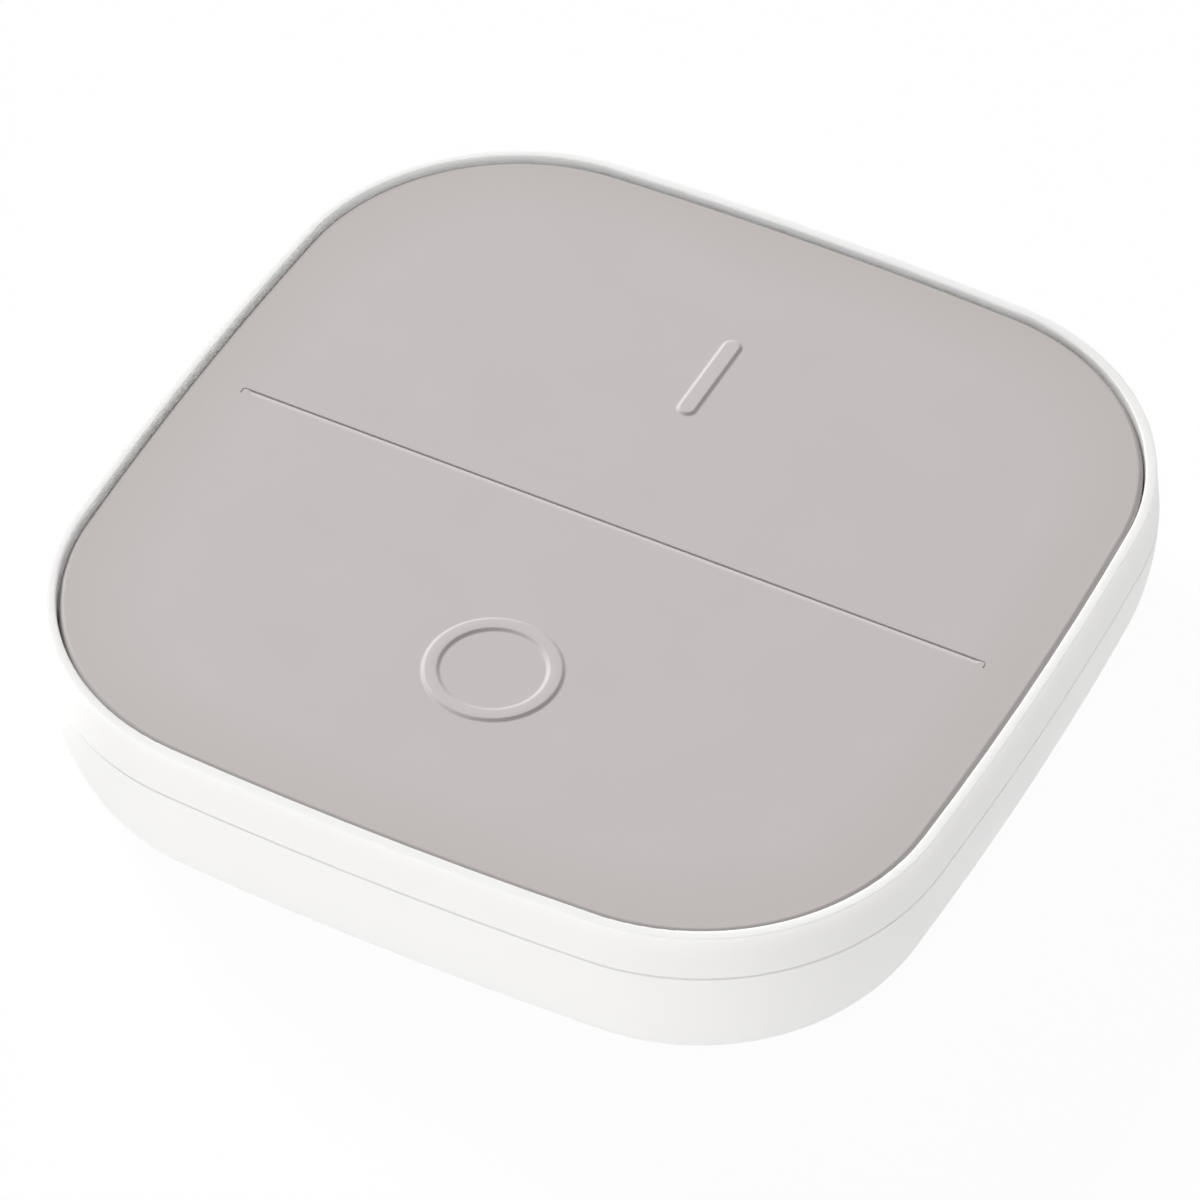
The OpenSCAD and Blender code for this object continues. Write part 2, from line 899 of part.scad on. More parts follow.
face_plate();
rocker_carrier();
bezel_frame();
base_shell();
battery_door();
battery_cells();
bridge_contact();
positive_contact();
negative_contact();
main_board();
switch_pads();
keypad_domes();
carbon_pills();
radio_board();
radio_shield();
radio_antenna();
controller_chip();
boost_inductor();
buffer_capacitors();
crystal();
chip_resistors();
housing_screws();
board_screws();
rubber_feet();
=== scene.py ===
"""Studio picture of a square wireless button with a rocking soft-touch face in a white housing."""
import math

import bmesh
import bpy
from mathutils import Matrix, Vector
from mathutils.geometry import delaunay_2d_cdt

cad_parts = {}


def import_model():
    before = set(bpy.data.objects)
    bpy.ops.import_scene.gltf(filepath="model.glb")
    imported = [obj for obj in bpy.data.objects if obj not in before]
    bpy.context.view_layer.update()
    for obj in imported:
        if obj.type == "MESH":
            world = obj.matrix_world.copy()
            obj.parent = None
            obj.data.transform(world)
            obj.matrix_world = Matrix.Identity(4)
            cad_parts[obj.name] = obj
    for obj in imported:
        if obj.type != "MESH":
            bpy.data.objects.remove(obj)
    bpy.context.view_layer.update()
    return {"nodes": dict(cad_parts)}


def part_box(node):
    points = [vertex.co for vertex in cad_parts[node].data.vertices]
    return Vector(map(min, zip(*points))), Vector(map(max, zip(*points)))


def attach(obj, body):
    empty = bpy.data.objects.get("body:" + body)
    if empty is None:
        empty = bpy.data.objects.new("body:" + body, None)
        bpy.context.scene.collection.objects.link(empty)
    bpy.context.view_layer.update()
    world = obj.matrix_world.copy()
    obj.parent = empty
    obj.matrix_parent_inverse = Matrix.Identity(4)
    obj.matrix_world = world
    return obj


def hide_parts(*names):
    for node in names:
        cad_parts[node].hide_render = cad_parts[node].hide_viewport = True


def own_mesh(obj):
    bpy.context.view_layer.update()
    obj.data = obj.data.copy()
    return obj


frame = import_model()
nodes = frame["nodes"]

# Lengths below are in millimetres, and meshes are made in metres
MM = 0.001


def corners(node):
    """Lowest and highest corner of a node in millimetres."""
    low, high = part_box(node)
    return low / MM, high / MM


# Outline: four wide side arcs tangent to four corner arcs
BELLY_OUT = 1.35
BOW_SIDES = (76, 1443)
BOW_UNIT = 0.235
HALF_W = corners("base_shell")[1].x - BELLY_OUT
CORNER_C = BOW_SIDES[0] * BOW_UNIT
CORNER_R = HALF_W - (BOW_SIDES[0] + 2) * BOW_UNIT
SIDE_C = BOW_SIDES[1] * BOW_UNIT - CORNER_C
SIDE_R = SIDE_C + HALF_W
BOW_ANGLE = math.atan2(*BOW_SIDES)
SIDE_STEPS = 28
CORNER_STEPS = 36

# Levels
RIM_Z = corners("bezel_frame")[1].z
SEAM_DROP = 4.2
SEAM_Z = RIM_Z - SEAM_DROP
FACE_DROP = 0.4
FACE_T = 1.5
FACE_Z = RIM_Z - FACE_DROP
FACE_LOW = FACE_Z - FACE_T

# Face plate
FACE_GAP = 0.18
FACE_EDGE_R = 0.5
FACE_EDGE_STEPS = 10
FACE_FOOT_R = 0.15
FACE_FOOT_STEPS = 4

# The groove is a fine slit, bent forwards at both ends, with a wide soft lip along its front
GROOVE_INSET = 4.25
GROOVE_Y = 0.68
GROOVE_W = 0.1
GROOVE_DEEP = 0.2
GROOVE_BEND_R = 0.25
GROOVE_HOOK = 0.35
GROOVE_DRAFT = 0.02
# Share of the slit's depth that is lost towards its tips
GROOVE_TIP_RISE = 0.5
LIP_W = 0.6
LIP_DEEP = 0.13
LIP_FADE = 0.7
# Width and depth of the lip on the slit's back side and round its ends
SMALL_LIP = (0.03, 0.02)

# Raised ring and bar, and the pegs below the plate
MARK_H = 0.18
MARK_SLOPE = 0.42
RING_AT = (-0.54, -18.35)
RING_R = 5.88
RING_W = 1.66
BAR_AT = (-0.45, 19.6)
BAR_L = 10.1
BAR_W = 1.94
PEG_P = CORNER_C + 3
PEG_R = 1.5
PEG_H = 1
PEG_BEVEL = 0.2
PEG_STEPS = 32

# Silicone domes below the marks, with a carbon pill under each hub
DOME_AT = ((0, BAR_AT[1]), (0, RING_AT[1]))
DOME_LOW, DOME_TOP = (corner.z for corner in corners("keypad_domes"))
DOME_R = 5.0
DOME_ROUND = 0.2
FLANGE_T = 0.5
FLANGE_W = 1.0
# The space under a dome starts this far in from its edge, and leans in by a little more
CAVITY_IN = 1.5
CAVITY_LEAN = 0.2
HUB_R = 2.3
HUB_FOOT_IN = 0.5
# Share of the hub's height at which the cone meets it
CONE_TOP = 0.4
PILL_LOW, HUB_LOW = (corner.z for corner in corners("carbon_pills"))
PILL_R = 1.5
PILL_ROUND = 0.06
TURN_STEPS = 64

# Width of the flat strip that keeps a rounded edge's shading off the flat beside it
GUARD = 0.06
# Points closer than these are one: on a flat in millimetres, and in a mesh in metres
FLAT_CLOSE = 1e-6
MESH_CLOSE = 1e-8


def arc(centre, radius, start, stop, steps):
    """Points of an arc, with its angles in degrees."""
    angles = [math.radians(start + (stop - start) * i / steps) for i in range(steps + 1)]
    return [(centre[0] + radius * math.cos(a), centre[1] + radius * math.sin(a)) for a in angles]


def outline(out):
    """Bowed square, its edge moved outwards, counter-clockwise."""
    sides = (-SIDE_C, 0, SIDE_R + out, -BOW_ANGLE, BOW_ANGLE, SIDE_STEPS)
    bends = (CORNER_C, CORNER_C, CORNER_R + out, BOW_ANGLE, math.pi / 2 - BOW_ANGLE, CORNER_STEPS)
    points = []
    for quarter in range(4):
        turn = Matrix.Rotation(quarter * math.pi / 2, 2)
        for x, y, radius, start, stop, steps in (sides, bends):
            for i in range(steps):
                a = start + (stop - start) * i / steps
                points.append(turn @ Vector((x + radius * math.cos(a), y + radius * math.sin(a))))
    return points


def circle(centre, radius, steps=96):
    """Circle, counter-clockwise."""
    angles = [2 * math.pi * i / steps for i in range(steps)]
    return [Vector((centre[0] + radius * math.cos(a), centre[1] + radius * math.sin(a))) for a in angles]


def stadium(centre, half, radius, along, steps=24):
    """Two half circles joined by straight runs; half is the way from the middle to a half circle."""
    points = []
    for end, start in ((1, along - 90), (-1, along + 90)):
        a = math.radians(along)
        middle = (centre[0] + end * half * math.cos(a), centre[1] + end * half * math.sin(a))
        points += [Vector(p) for p in arc(middle, radius, start, start + 180, steps)]
    return points


def inside(point, loop):
    """True if a flat point lies within a closed loop."""
    crossings = 0
    for a, b in zip(loop, loop[1:] + loop[:1]):
        if (a.y > point.y) != (b.y > point.y):
            crossings += point.x < a.x + (b.x - a.x) * (point.y - a.y) / (b.y - a.y)
    return crossings % 2 == 1


class Solid:
    """Rings of points, in millimetres, and the faces between them."""

    def __init__(self):
        self.points = []
        self.faces = []

    def ring(self, points):
        """Adds points; returns their numbers."""
        first = len(self.points)
        self.points += points
        return list(range(first, len(self.points)))

    def bridge(self, a, b):
        """Joins two closed rings of equal length by four-sided faces."""
        for i in range(len(a)):
            j = (i + 1) % len(a)
            self.faces.append((a[i], a[j], b[j], b[i]))

    def stack(self, loops):
        """Joins loops, given as flat points and a height, one after the other; returns the end rings."""
        return self.join([[Vector((p[0], p[1], z)) for p in flat] for flat, z in loops])

    def join(self, loops):
        """Joins loops of points one after the other; returns the end rings."""
        rings = [self.ring(loop) for loop in loops]
        for a, b in zip(rings, rings[1:]):
            self.bridge(a, b)
        return rings[0], rings[-1]

    def fill(self, outer, *holes):
        """Closes the flat area inside a ring, around the rings within it."""
        numbers = [n for ring in (outer, *holes) for n in ring]
        flat = [self.points[n].xy for n in numbers]
        edges = []
        for ring in (outer, *holes):
            first = len(edges)
            edges += [(first + i, first + (i + 1) % len(ring)) for i in range(len(ring))]
        loops = [[self.points[n].xy for n in ring] for ring in holes]
        places, _, faces, came_from, _, _ = delaunay_2d_cdt(flat, edges, [], 1, FLAT_CLOSE)
        for face in faces:
            middle = sum((places[i] for i in face), Vector((0, 0))) / len(face)
            if not any(inside(middle, loop) for loop in loops):
                self.faces.append([numbers[came_from[i][0]] for i in face])

    def build(self, name, sharp=35):
        """Makes the mesh object, smooth except at edges sharper than an angle in degrees."""
        mesh = bpy.data.meshes.new(name)
        mesh.from_pydata([p * MM for p in self.points], [], self.faces)
        shape = bmesh.new()
        shape.from_mesh(mesh)
        bmesh.ops.remove_doubles(shape, verts=shape.verts, dist=MESH_CLOSE)
        bmesh.ops.recalc_face_normals(shape, faces=shape.faces)
        shape.to_mesh(mesh)
        shape.free()
        mesh.shade_smooth()
        mesh.set_sharp_from_angle(angle=math.radians(sharp))
        piece = bpy.data.objects.new(name, mesh)
        bpy.context.scene.collection.objects.link(piece)
        weights = piece.modifiers.new("even_normals", "WEIGHTED_NORMAL")
        weights.keep_sharp = True
        return piece


def soft_step(width, height, steps=10):
    """Slope with rounded ends, as distance along and height, after a short flat run-up."""
    shares = [i / steps for i in range(steps + 1)]
    slope = [(width * s, height * (0.5 - 0.5 * math.cos(math.pi * s))) for s in shares]
    return [(-GUARD, 0)] + slope


def groove_path(steps=8):
    """Places from the slit's left tip to its right one: point, outward angle, front lip, share of depth."""
    half = HALF_W - FACE_GAP - GROOVE_INSET - GROOVE_W / 2
    bend_x, bend_y = half - GROOVE_BEND_R, GROOVE_Y - GROOVE_BEND_R
    shares = [i / steps for i in range(steps + 1)]
    right = []
    for s in shares:
        lip = SMALL_LIP[0] + (LIP_W - SMALL_LIP[0]) * (0.5 + 0.5 * math.cos(math.pi * s))
        right.append((bend_x - LIP_FADE * (1 - s), GROOVE_Y, math.pi / 2, lip, 1))
    for s in shares[1:]:
        a = math.pi / 2 * (1 - s)
        x, y = bend_x + GROOVE_BEND_R * math.cos(a), bend_y + GROOVE_BEND_R * math.sin(a)
        right.append((x, y, a, SMALL_LIP[0], 1))
    for s in shares[1:]:
        right.append((half, bend_y - GROOVE_HOOK * s, 0, SMALL_LIP[0], 1 - GROOVE_TIP_RISE * s))
    left = [(-x, y, math.pi - a, lip, share) for x, y, a, lip, share in reversed(right)]
    return left + right


def groove_mesh(solid, lip_steps=6, cap_steps=8):
    """Slit with its lips; returns the ring of flat points round it."""
    path = groove_path()
    shares = [i / lip_steps for i in range(lip_steps + 1)]

    def side(lip, lip_deep, share):
        """Way out from the slit's middle and depth, from the flat beside the lip to the slit's floor."""
        line = [(GROOVE_W / 2 + lip + GUARD, 0)]
        line += [(GROOVE_W / 2 + lip * (1 - s), lip_deep * s * s) for s in shares]
        return line + [(GROOVE_W / 2 - GROOVE_DRAFT, GROOVE_DEEP * share)]

    def place(x, y, angle, way, deep):
        """Point at a way out from the slit's middle, below the face's top."""
        return Vector((x + way * math.cos(angle), y + way * math.sin(angle), FACE_Z - deep))

    def cap(tip, start):
        """Half circles round a tip, counter-clockwise from a start angle, without their ends."""
        x, y, _, _, share = tip
        angles = [start + math.pi * i / cap_steps for i in range(1, cap_steps)]
        return [[place(x, y, a, way, deep) for way, deep in side(*SMALL_LIP, share)] for a in angles]

    outer, inner = [], []
    for x, y, angle, lip, share in path:
        lip_deep = max(SMALL_LIP[1], LIP_DEEP * lip / LIP_W)
        outer.append([place(x, y, angle, way, deep) for way, deep in side(*SMALL_LIP, share)])
        inner.append([place(x, y, angle, -way, deep) for way, deep in side(lip, lip_deep, share)])
    lines = outer[::-1] + cap(path[0], math.pi) + inner + cap(path[-1], math.pi)
    edge, bottom = solid.join([list(loop) for loop in zip(*lines)])
    solid.fill(bottom)
    return edge


def face_mesh():
    """Face plate with a rounded edge, a fine groove, two raised marks and four pegs below."""
    solid = Solid()
    edge_o = -FACE_GAP - FACE_EDGE_R
    profile = [(edge_o - GUARD, FACE_Z)]
    profile += arc((edge_o, FACE_Z - FACE_EDGE_R), FACE_EDGE_R, 90, 0, FACE_EDGE_STEPS)
    foot_c = (-FACE_GAP - FACE_FOOT_R, FACE_LOW + FACE_FOOT_R)
    profile += arc(foot_c, FACE_FOOT_R, 0, -90, FACE_FOOT_STEPS)
    profile += [(foot_c[0] - GUARD, FACE_LOW)]
    top, bottom = solid.stack([(outline(o), z) for o, z in profile])

    groove = groove_mesh(solid)
    rise = soft_step(MARK_SLOPE, MARK_H)
    straight = (BAR_L - BAR_W) / 2
    sides = [(BAR_W / 2 - d, FACE_Z + h) for d, h in rise]
    bar, bar_top = solid.stack([(stadium(BAR_AT, straight, r, 90), z) for r, z in sides])
    solid.fill(bar_top)

    across = [(RING_R - d, FACE_Z + h) for d, h in rise]
    across += [(RING_R - RING_W + d, FACE_Z + h) for d, h in reversed(rise)]
    ring, ring_inside = solid.stack([(circle(RING_AT, r), z) for r, z in across])
    solid.fill(ring_inside)

    solid.fill(top, groove, bar, ring)
    peg_low = FACE_LOW - PEG_H
    levels = ((PEG_R, FACE_LOW), (PEG_R, peg_low + PEG_BEVEL), (PEG_R - PEG_BEVEL, peg_low))
    pegs = []
    for x in (-PEG_P, PEG_P):
        for y in (-PEG_P, PEG_P):
            root, tip = solid.stack([(circle((x, y), r, PEG_STEPS), z) for r, z in levels])
            solid.fill(tip)
            pegs.append(root)
    solid.fill(bottom, *pegs)
    return solid.build("soft_face")


def rounded(points, cut, steps=4):
    """Line of points with its inner corners cut off by curves that start a set way before them."""
    line = [Vector(p) for p in points]
    curve = [line[0]]
    for before, corner, after in zip(line, line[1:], line[2:]):
        start, stop = (corner + side.normalized() * min(cut, side.length / 2)
                       for side in (before - corner, after - corner))
        for i in range(steps + 1):
            s = i / steps
            curve.append((1 - s) ** 2 * start + 2 * s * (1 - s) * corner + s * s * stop)
    return curve + [line[-1]]


def turned(name, places, section):
    """Piece turned about an upright axis at each place; its section runs from axis to axis."""
    solid = Solid()
    for place in places:
        first, last = solid.stack([(circle(place, r, TURN_STEPS), z) for r, z in section[1:-1]])
        solid.fill(first)
        solid.fill(last)
    return solid.build(name)


def dome_mesh():
    """Two keypad domes: a flange, a thin cone and a thick hub each."""
    cone_z = HUB_LOW + CONE_TOP * (DOME_TOP - HUB_LOW)
    flange_z = DOME_LOW + FLANGE_T
    cavity_r = DOME_R - CAVITY_IN
    section = (
        (0, DOME_TOP),
        (HUB_R, DOME_TOP),
        (HUB_R, cone_z),
        (DOME_R - FLANGE_W, flange_z),
        (DOME_R, flange_z),
        (DOME_R, DOME_LOW),
        (cavity_r, DOME_LOW),
        (cavity_r - CAVITY_LEAN, DOME_LOW + FLANGE_T / 2),
        (HUB_R - HUB_FOOT_IN, HUB_LOW),
        (0, HUB_LOW),
    )
    return turned("soft_domes", DOME_AT, rounded(section, DOME_ROUND))


def pill_mesh():
    """Two carbon pills, discs with a broken edge."""
    section = ((0, HUB_LOW), (PILL_R, HUB_LOW), (PILL_R, PILL_LOW), (0, PILL_LOW))
    return turned("contact_pills", DOME_AT, rounded(section, PILL_ROUND))


# Materials


def srgb(red, green, blue):
    """Linear colour of screen values from 0 to 255."""
    linear = []
    for value in (red, green, blue):
        v = value / 255
        linear.append(v / 12.92 if v <= 0.04045 else ((v + 0.055) / 1.055) ** 2.4)
    return (*linear, 1)


def node(tree, kind, **values):
    """New shader node with some of its input values or settings."""
    made = tree.nodes.new(kind)
    for key, value in values.items():
        if key in made.inputs:
            made.inputs[key].default_value = value
        else:
            setattr(made, key, value)
    return made


def material(name, roughness, metallic=0):
    """Material with an object-space coordinate; returns its tree, shader and coordinate socket."""
    made = bpy.data.materials.new(name)
    made.use_nodes = True
    tree = made.node_tree
    shader = tree.nodes["Principled BSDF"]
    shader.inputs["Roughness"].default_value = roughness
    shader.inputs["Metallic"].default_value = metallic
    place = node(tree, "ShaderNodeTexCoord").outputs["Object"]
    return made, tree, shader, place


def noise(tree, place, size, detail=2):
    """Noise between 0 and 1 whose blotches are about the given size in millimetres."""
    made = node(tree, "ShaderNodeTexNoise", Scale=1 / (size * MM), Detail=detail)
    tree.links.new(place, made.inputs["Vector"])
    return made.outputs["Fac"]


def spread(tree, value, low, high, start=0.3, stop=0.7):
    """Value mapped from start..stop to low..high."""
    made = node(tree, "ShaderNodeMapRange")
    for key, number in zip(("From Min", "From Max", "To Min", "To Max"), (start, stop, low, high)):
        made.inputs[key].default_value = number
    tree.links.new(value, made.inputs["Value"])
    return made.outputs["Result"]


def blend(tree, share, a, b):
    """Colour mixed from a to b; each is a colour or a socket."""
    made = node(tree, "ShaderNodeMix", data_type="RGBA")
    tree.links.new(share, made.inputs["Factor"])
    for key, colour in (("A", a), ("B", b)):
        socket = [s for s in made.inputs if s.name == key and s.type == "RGBA"][0]
        if isinstance(colour, bpy.types.NodeSocket):
            tree.links.new(colour, socket)
        else:
            socket.default_value = colour
    return [s for s in made.outputs if s.type == "RGBA"][0]


def shade(colour, factor):
    """Colour made lighter or darker by a factor."""
    return (*(c * factor for c in colour[:3]), 1)


def relief(tree, shader, height, depth):
    """Bump of a real depth in millimetres from a height between 0 and 1."""
    made = node(tree, "ShaderNodeBump", Strength=1.0, Distance=depth * MM)
    tree.links.new(height, made.inputs["Height"])
    tree.links.new(made.outputs["Normal"], shader.inputs["Normal"])


def finish_surface(name, colour, roughness, metallic=0, vary=0.04, patch=6, grain=0.15, depth=0.002):
    """Material with mottled colour, uneven gloss and a fine grain."""
    made, tree, shader, place = material(name, roughness, metallic)
    blotches = noise(tree, place, patch, 4)
    tint = blend(tree, spread(tree, blotches, 0, 1), shade(colour, 1 - vary), shade(colour, 1 + vary))
    tree.links.new(tint, shader.inputs["Base Color"])
    gloss = spread(tree, noise(tree, place, patch / 3, 3), roughness - 0.05, roughness + 0.05)
    tree.links.new(gloss, shader.inputs["Roughness"])
    relief(tree, shader, noise(tree, place, grain, 2), depth)
    return made


# Coat of the face: colour, gloss, and factors of the colour by place: a random mottle, painted shade at the
# edge and painted highlights on the marks and the lip
FACE_COLOUR = srgb(195, 190, 189)
FACE_MOTTLE = (0.988, 1.012)
FACE_GLOSS = (0.51, 0.61)
FACE_SPECULAR = 0.3
FACE_GRAIN = 0.16
FACE_GRAIN_DEEP = 0.004
# The painted shade towards the plate's edge starts and ends this far in from the outline
BORDER_IN = (7, 0.6)
# Factors of the colour in the painted shade at the plate's edge
BORDER_SHADE = (0.935, 0.932, 0.91)
# Painted highlight on the marks' tops: the height above the face where it starts, and its factor
MARK_TOP_FROM = 0.12
MARK_TOP_HIGHLIGHT = 1.04
# Below the top there are only the groove's lip and the plate's rounded edge, far apart; the lip gets a
# painted highlight and the rounded edge a painted shade
LOW_BETWEEN = (0.03, 0.003)
EDGE_IN = (3, 2)
# Factors of the colour: painted highlight on the groove's lip, painted shade on the rounded edge
LIP_HIGHLIGHT = 1.12
EDGE_SHADE = 0.78


def face_softtouch():
    """Warm grey rubbery coat, with painted shade towards the plate's edge and on its rounded edge, and
    painted highlights on the marks' tops and the groove's lip.
    """
    made, tree, shader, place = material("face_softtouch", sum(FACE_GLOSS) / 2)
    colour = FACE_COLOUR
    blotches = spread(tree, noise(tree, place, 9, 4), 0, 1)
    tint = blend(tree, blotches, *(shade(colour, factor) for factor in FACE_MOTTLE))
    split = node(tree, "ShaderNodeSeparateXYZ")
    tree.links.new(place, split.inputs["Vector"])
    # Reach from the middle in the sense of the bowed square: equal all along its outline
    power = math.log(2) / math.log(HALF_W / (CORNER_C + CORNER_R / math.sqrt(2)))
    parts = []
    for axis in ("X", "Y"):
        size = node(tree, "ShaderNodeMath", operation="ABSOLUTE")
        tree.links.new(split.outputs[axis], size.inputs[0])
        raised = node(tree, "ShaderNodeMath", operation="POWER")
        tree.links.new(size.outputs[0], raised.inputs[0])
        raised.inputs[1].default_value = power
        parts.append(raised.outputs[0])
    total = node(tree, "ShaderNodeMath", operation="ADD")
    tree.links.new(parts[0], total.inputs[0])
    tree.links.new(parts[1], total.inputs[1])
    reach = node(tree, "ShaderNodeMath", operation="POWER")
    tree.links.new(total.outputs[0], reach.inputs[0])
    reach.inputs[1].default_value = 1 / power
    # Painted shade: the colour darkens towards the plate's edge
    edge_shade_share = spread(tree, reach.outputs[0], 0, 1, *((HALF_W - way) * MM for way in BORDER_IN))
    border_shade_colour = (*(c * factor for c, factor in zip(colour, BORDER_SHADE)), 1)
    tint = blend(tree, edge_shade_share, tint, border_shade_colour)
    height = split.outputs["Z"]
    # Painted highlight on the marks' tops
    top = spread(tree, height, 0, 1, (FACE_Z + MARK_TOP_FROM) * MM, (FACE_Z + MARK_H) * MM)
    tint = blend(tree, top, tint, shade(colour, MARK_TOP_HIGHLIGHT))
    # Painted highlight on the groove's lip and painted shade on the plate's rounded edge
    low = spread(tree, height, 1, 0, *((FACE_Z - drop) * MM for drop in LOW_BETWEEN))
    outer = spread(tree, reach.outputs[0], 0, 1, *((HALF_W - way) * MM for way in EDGE_IN))
    lip_highlight_edge_shade = blend(tree, outer, shade(colour, LIP_HIGHLIGHT), shade(colour, EDGE_SHADE))
    tint = blend(tree, low, tint, lip_highlight_edge_shade)
    tree.links.new(tint, shader.inputs["Base Color"])
    gloss = spread(tree, noise(tree, place, 3, 3), *FACE_GLOSS)
    tree.links.new(gloss, shader.inputs["Roughness"])
    shader.inputs["Specular IOR Level"].default_value = FACE_SPECULAR
    relief(tree, shader, noise(tree, place, FACE_GRAIN, 3), FACE_GRAIN_DEEP)
    return made


# Depth in millimetres to which light enters the white plastic: on the outer walls, on the walls
# that face the middle, which light reaches through the thin lip, and at the seam, where it stays
# near the surface, or the dark gap would swallow it
OUTER_REACH = 0.85
INNER_REACH = 3.0
SEAM_REACH = 0.2
# The seam's reach holds up to the first of these distances, and grows to the inner one's at the second
SEAM_NEAR = (0.4, 3.0)
# Dot product of place and normal, in metres, at which a wall counts as facing the middle or outwards
FACING = (-0.03, 0.0)


def housing_white():
    """Satin white plastic with a fine moulded texture."""
    white = srgb(241, 240, 239)
    made = finish_surface("housing_white", white, 0.42, vary=0.006, patch=14, grain=0.2, depth=0.002)
    tree = made.node_tree
    shader = tree.nodes["Principled BSDF"]
    shader.inputs["IOR"].default_value = 1.46
    shader.inputs["Subsurface Weight"].default_value = 0.85
    shader.inputs["Subsurface Radius"].default_value = (1, 1, 1)
    place = node(tree, "ShaderNodeTexCoord")
    outward = node(tree, "ShaderNodeVectorMath", operation="DOT_PRODUCT")
    tree.links.new(place.outputs["Object"], outward.inputs[0])
    tree.links.new(place.outputs["Normal"], outward.inputs[1])
    inwards = spread(tree, outward.outputs["Value"], INNER_REACH * MM, OUTER_REACH * MM, *FACING)
    split = node(tree, "ShaderNodeSeparateXYZ")
    tree.links.new(place.outputs["Object"], split.inputs["Vector"])
    above = node(tree, "ShaderNodeMath", operation="SUBTRACT")
    tree.links.new(split.outputs["Z"], above.inputs[0])
    above.inputs[1].default_value = SEAM_Z * MM
    away = node(tree, "ShaderNodeMath", operation="ABSOLUTE")
    tree.links.new(above.outputs[0], away.inputs[0])
    near = (way * MM for way in SEAM_NEAR)
    seam = spread(tree, away.outputs[0], SEAM_REACH * MM, INNER_REACH * MM, *near)
    reach = node(tree, "ShaderNodeMath", operation="MINIMUM")
    tree.links.new(inwards, reach.inputs[0])
    tree.links.new(seam, reach.inputs[1])
    tree.links.new(reach.outputs[0], shader.inputs["Subsurface Scale"])
    return made


# Printing of the cells, measured from their ends
CELL_NUB = 1.2
CELL_CRIMP = 0.55
CELL_BAND = 10
PRINT_EDGE = 0.05
CELL_GLOSS = (0.32, 0.36)


def cell_sleeve():
    """Printed sleeve with a bright band at the plus end, over a bare steel can."""
    made, tree, shader, place = material("cell_sleeve", sum(CELL_GLOSS) / 2)
    split = node(tree, "ShaderNodeSeparateXYZ")
    tree.links.new(place, split.inputs["Vector"])
    side = node(tree, "ShaderNodeMath", operation="SIGN")
    tree.links.new(split.outputs["Y"], side.inputs[0])
    along = node(tree, "ShaderNodeMath", operation="MULTIPLY")
    tree.links.new(split.outputs["X"], along.inputs[0])
    tree.links.new(side.outputs[0], along.inputs[1])
    high = corners("battery_cells")[1].x
    green = srgb(52, 112, 92)
    band = srgb(206, 160, 96)
    steel = srgb(196, 196, 192)
    blotches = spread(tree, noise(tree, place, 8, 2), 0, 1)
    sleeve = blend(tree, blotches, shade(green, 0.97), shade(green, 1.03))

    def from_here(start, before, after):
        """Share that changes within a print's edge, from a place along the cell."""
        return spread(tree, along.outputs[0], before, after, start * MM, (start + PRINT_EDGE) * MM)

    at_band = from_here(high - CELL_BAND, 0, 1)
    print_colour = blend(tree, at_band, sleeve, band)
    at_plus = from_here(high - CELL_NUB - CELL_CRIMP, 0, 1)
    at_minus = from_here(CELL_CRIMP - high, 1, 0)
    bare = node(tree, "ShaderNodeMath", operation="MAXIMUM")
    tree.links.new(at_plus, bare.inputs[0])
    tree.links.new(at_minus, bare.inputs[1])
    tree.links.new(blend(tree, bare.outputs[0], print_colour, steel), shader.inputs["Base Color"])
    tree.links.new(bare.outputs[0], shader.inputs["Metallic"])
    gloss = spread(tree, noise(tree, place, 8, 2), *CELL_GLOSS)
    tree.links.new(gloss, shader.inputs["Roughness"])
    return made


def all_materials():
    """One material for each of the record's slots."""
    made = {
        "face_softtouch": face_softtouch(),
        "housing_white": housing_white(),
        "cell_sleeve": cell_sleeve(),
    }
    # Colour, roughness, metal, then variation, size of patches, size and depth of the grain
    plain = {
        "door_white": (srgb(240, 239, 237), 0.42, 0, 0.006, 14, 0.2, 0.002),
        "carrier_grey": (srgb(143, 139, 136), 0.6, 0, 0.03, 8, 0.3, 0.003),
        "contact_nickel": (srgb(203, 200, 191), 0.3, 1, 0.05, 2, 0.2, 0.002),
        "board_green": (srgb(40, 92, 58), 0.45, 0, 0.08, 3, 0.4, 0.004),
        "pad_gold": (srgb(214, 174, 88), 0.3, 1, 0.05, 1, 0.15, 0.002),
        "dome_silicone": (srgb(214, 212, 207), 0.55, 0, 0.02, 4, 0.2, 0.002),
        "pill_carbon": (srgb(40, 39, 38), 0.7, 0, 0.1, 0.5, 0.1, 0.003),
        "radio_blue": (srgb(32, 62, 94), 0.45, 0, 0.06, 2, 0.3, 0.003),
        "shield_tin": (srgb(190, 193, 194), 0.32, 1, 0.05, 2, 0.25, 0.003),
        "antenna_copper": (srgb(205, 148, 96), 0.35, 1, 0.06, 1, 0.15, 0.002),
        "chip_black": (srgb(38, 38, 40), 0.6, 0, 0.08, 1, 0.12, 0.003),
        "coil_ferrite": (srgb(62, 62, 66), 0.6, 0, 0.1, 0.8, 0.12, 0.004),
        "capacitor_tan": (srgb(178, 140, 78), 0.5, 0, 0.05, 1, 0.12, 0.003),
        "crystal_can": (srgb(198, 201, 202), 0.28, 1, 0.04, 1.5, 0.2, 0.002),
        "resistor_dark": (srgb(54, 52, 48), 0.5, 0, 0.08, 0.6, 0.1, 0.003),
        "screw_steel": (srgb(158, 161, 164), 0.32, 1, 0.06, 1, 0.15, 0.003),
        "foot_rubber": (srgb(150, 149, 147), 0.7, 0, 0.04, 2, 0.15, 0.006),
    }
    for slot, finish in plain.items():
        made[slot] = finish_surface(slot, *finish)
    return made


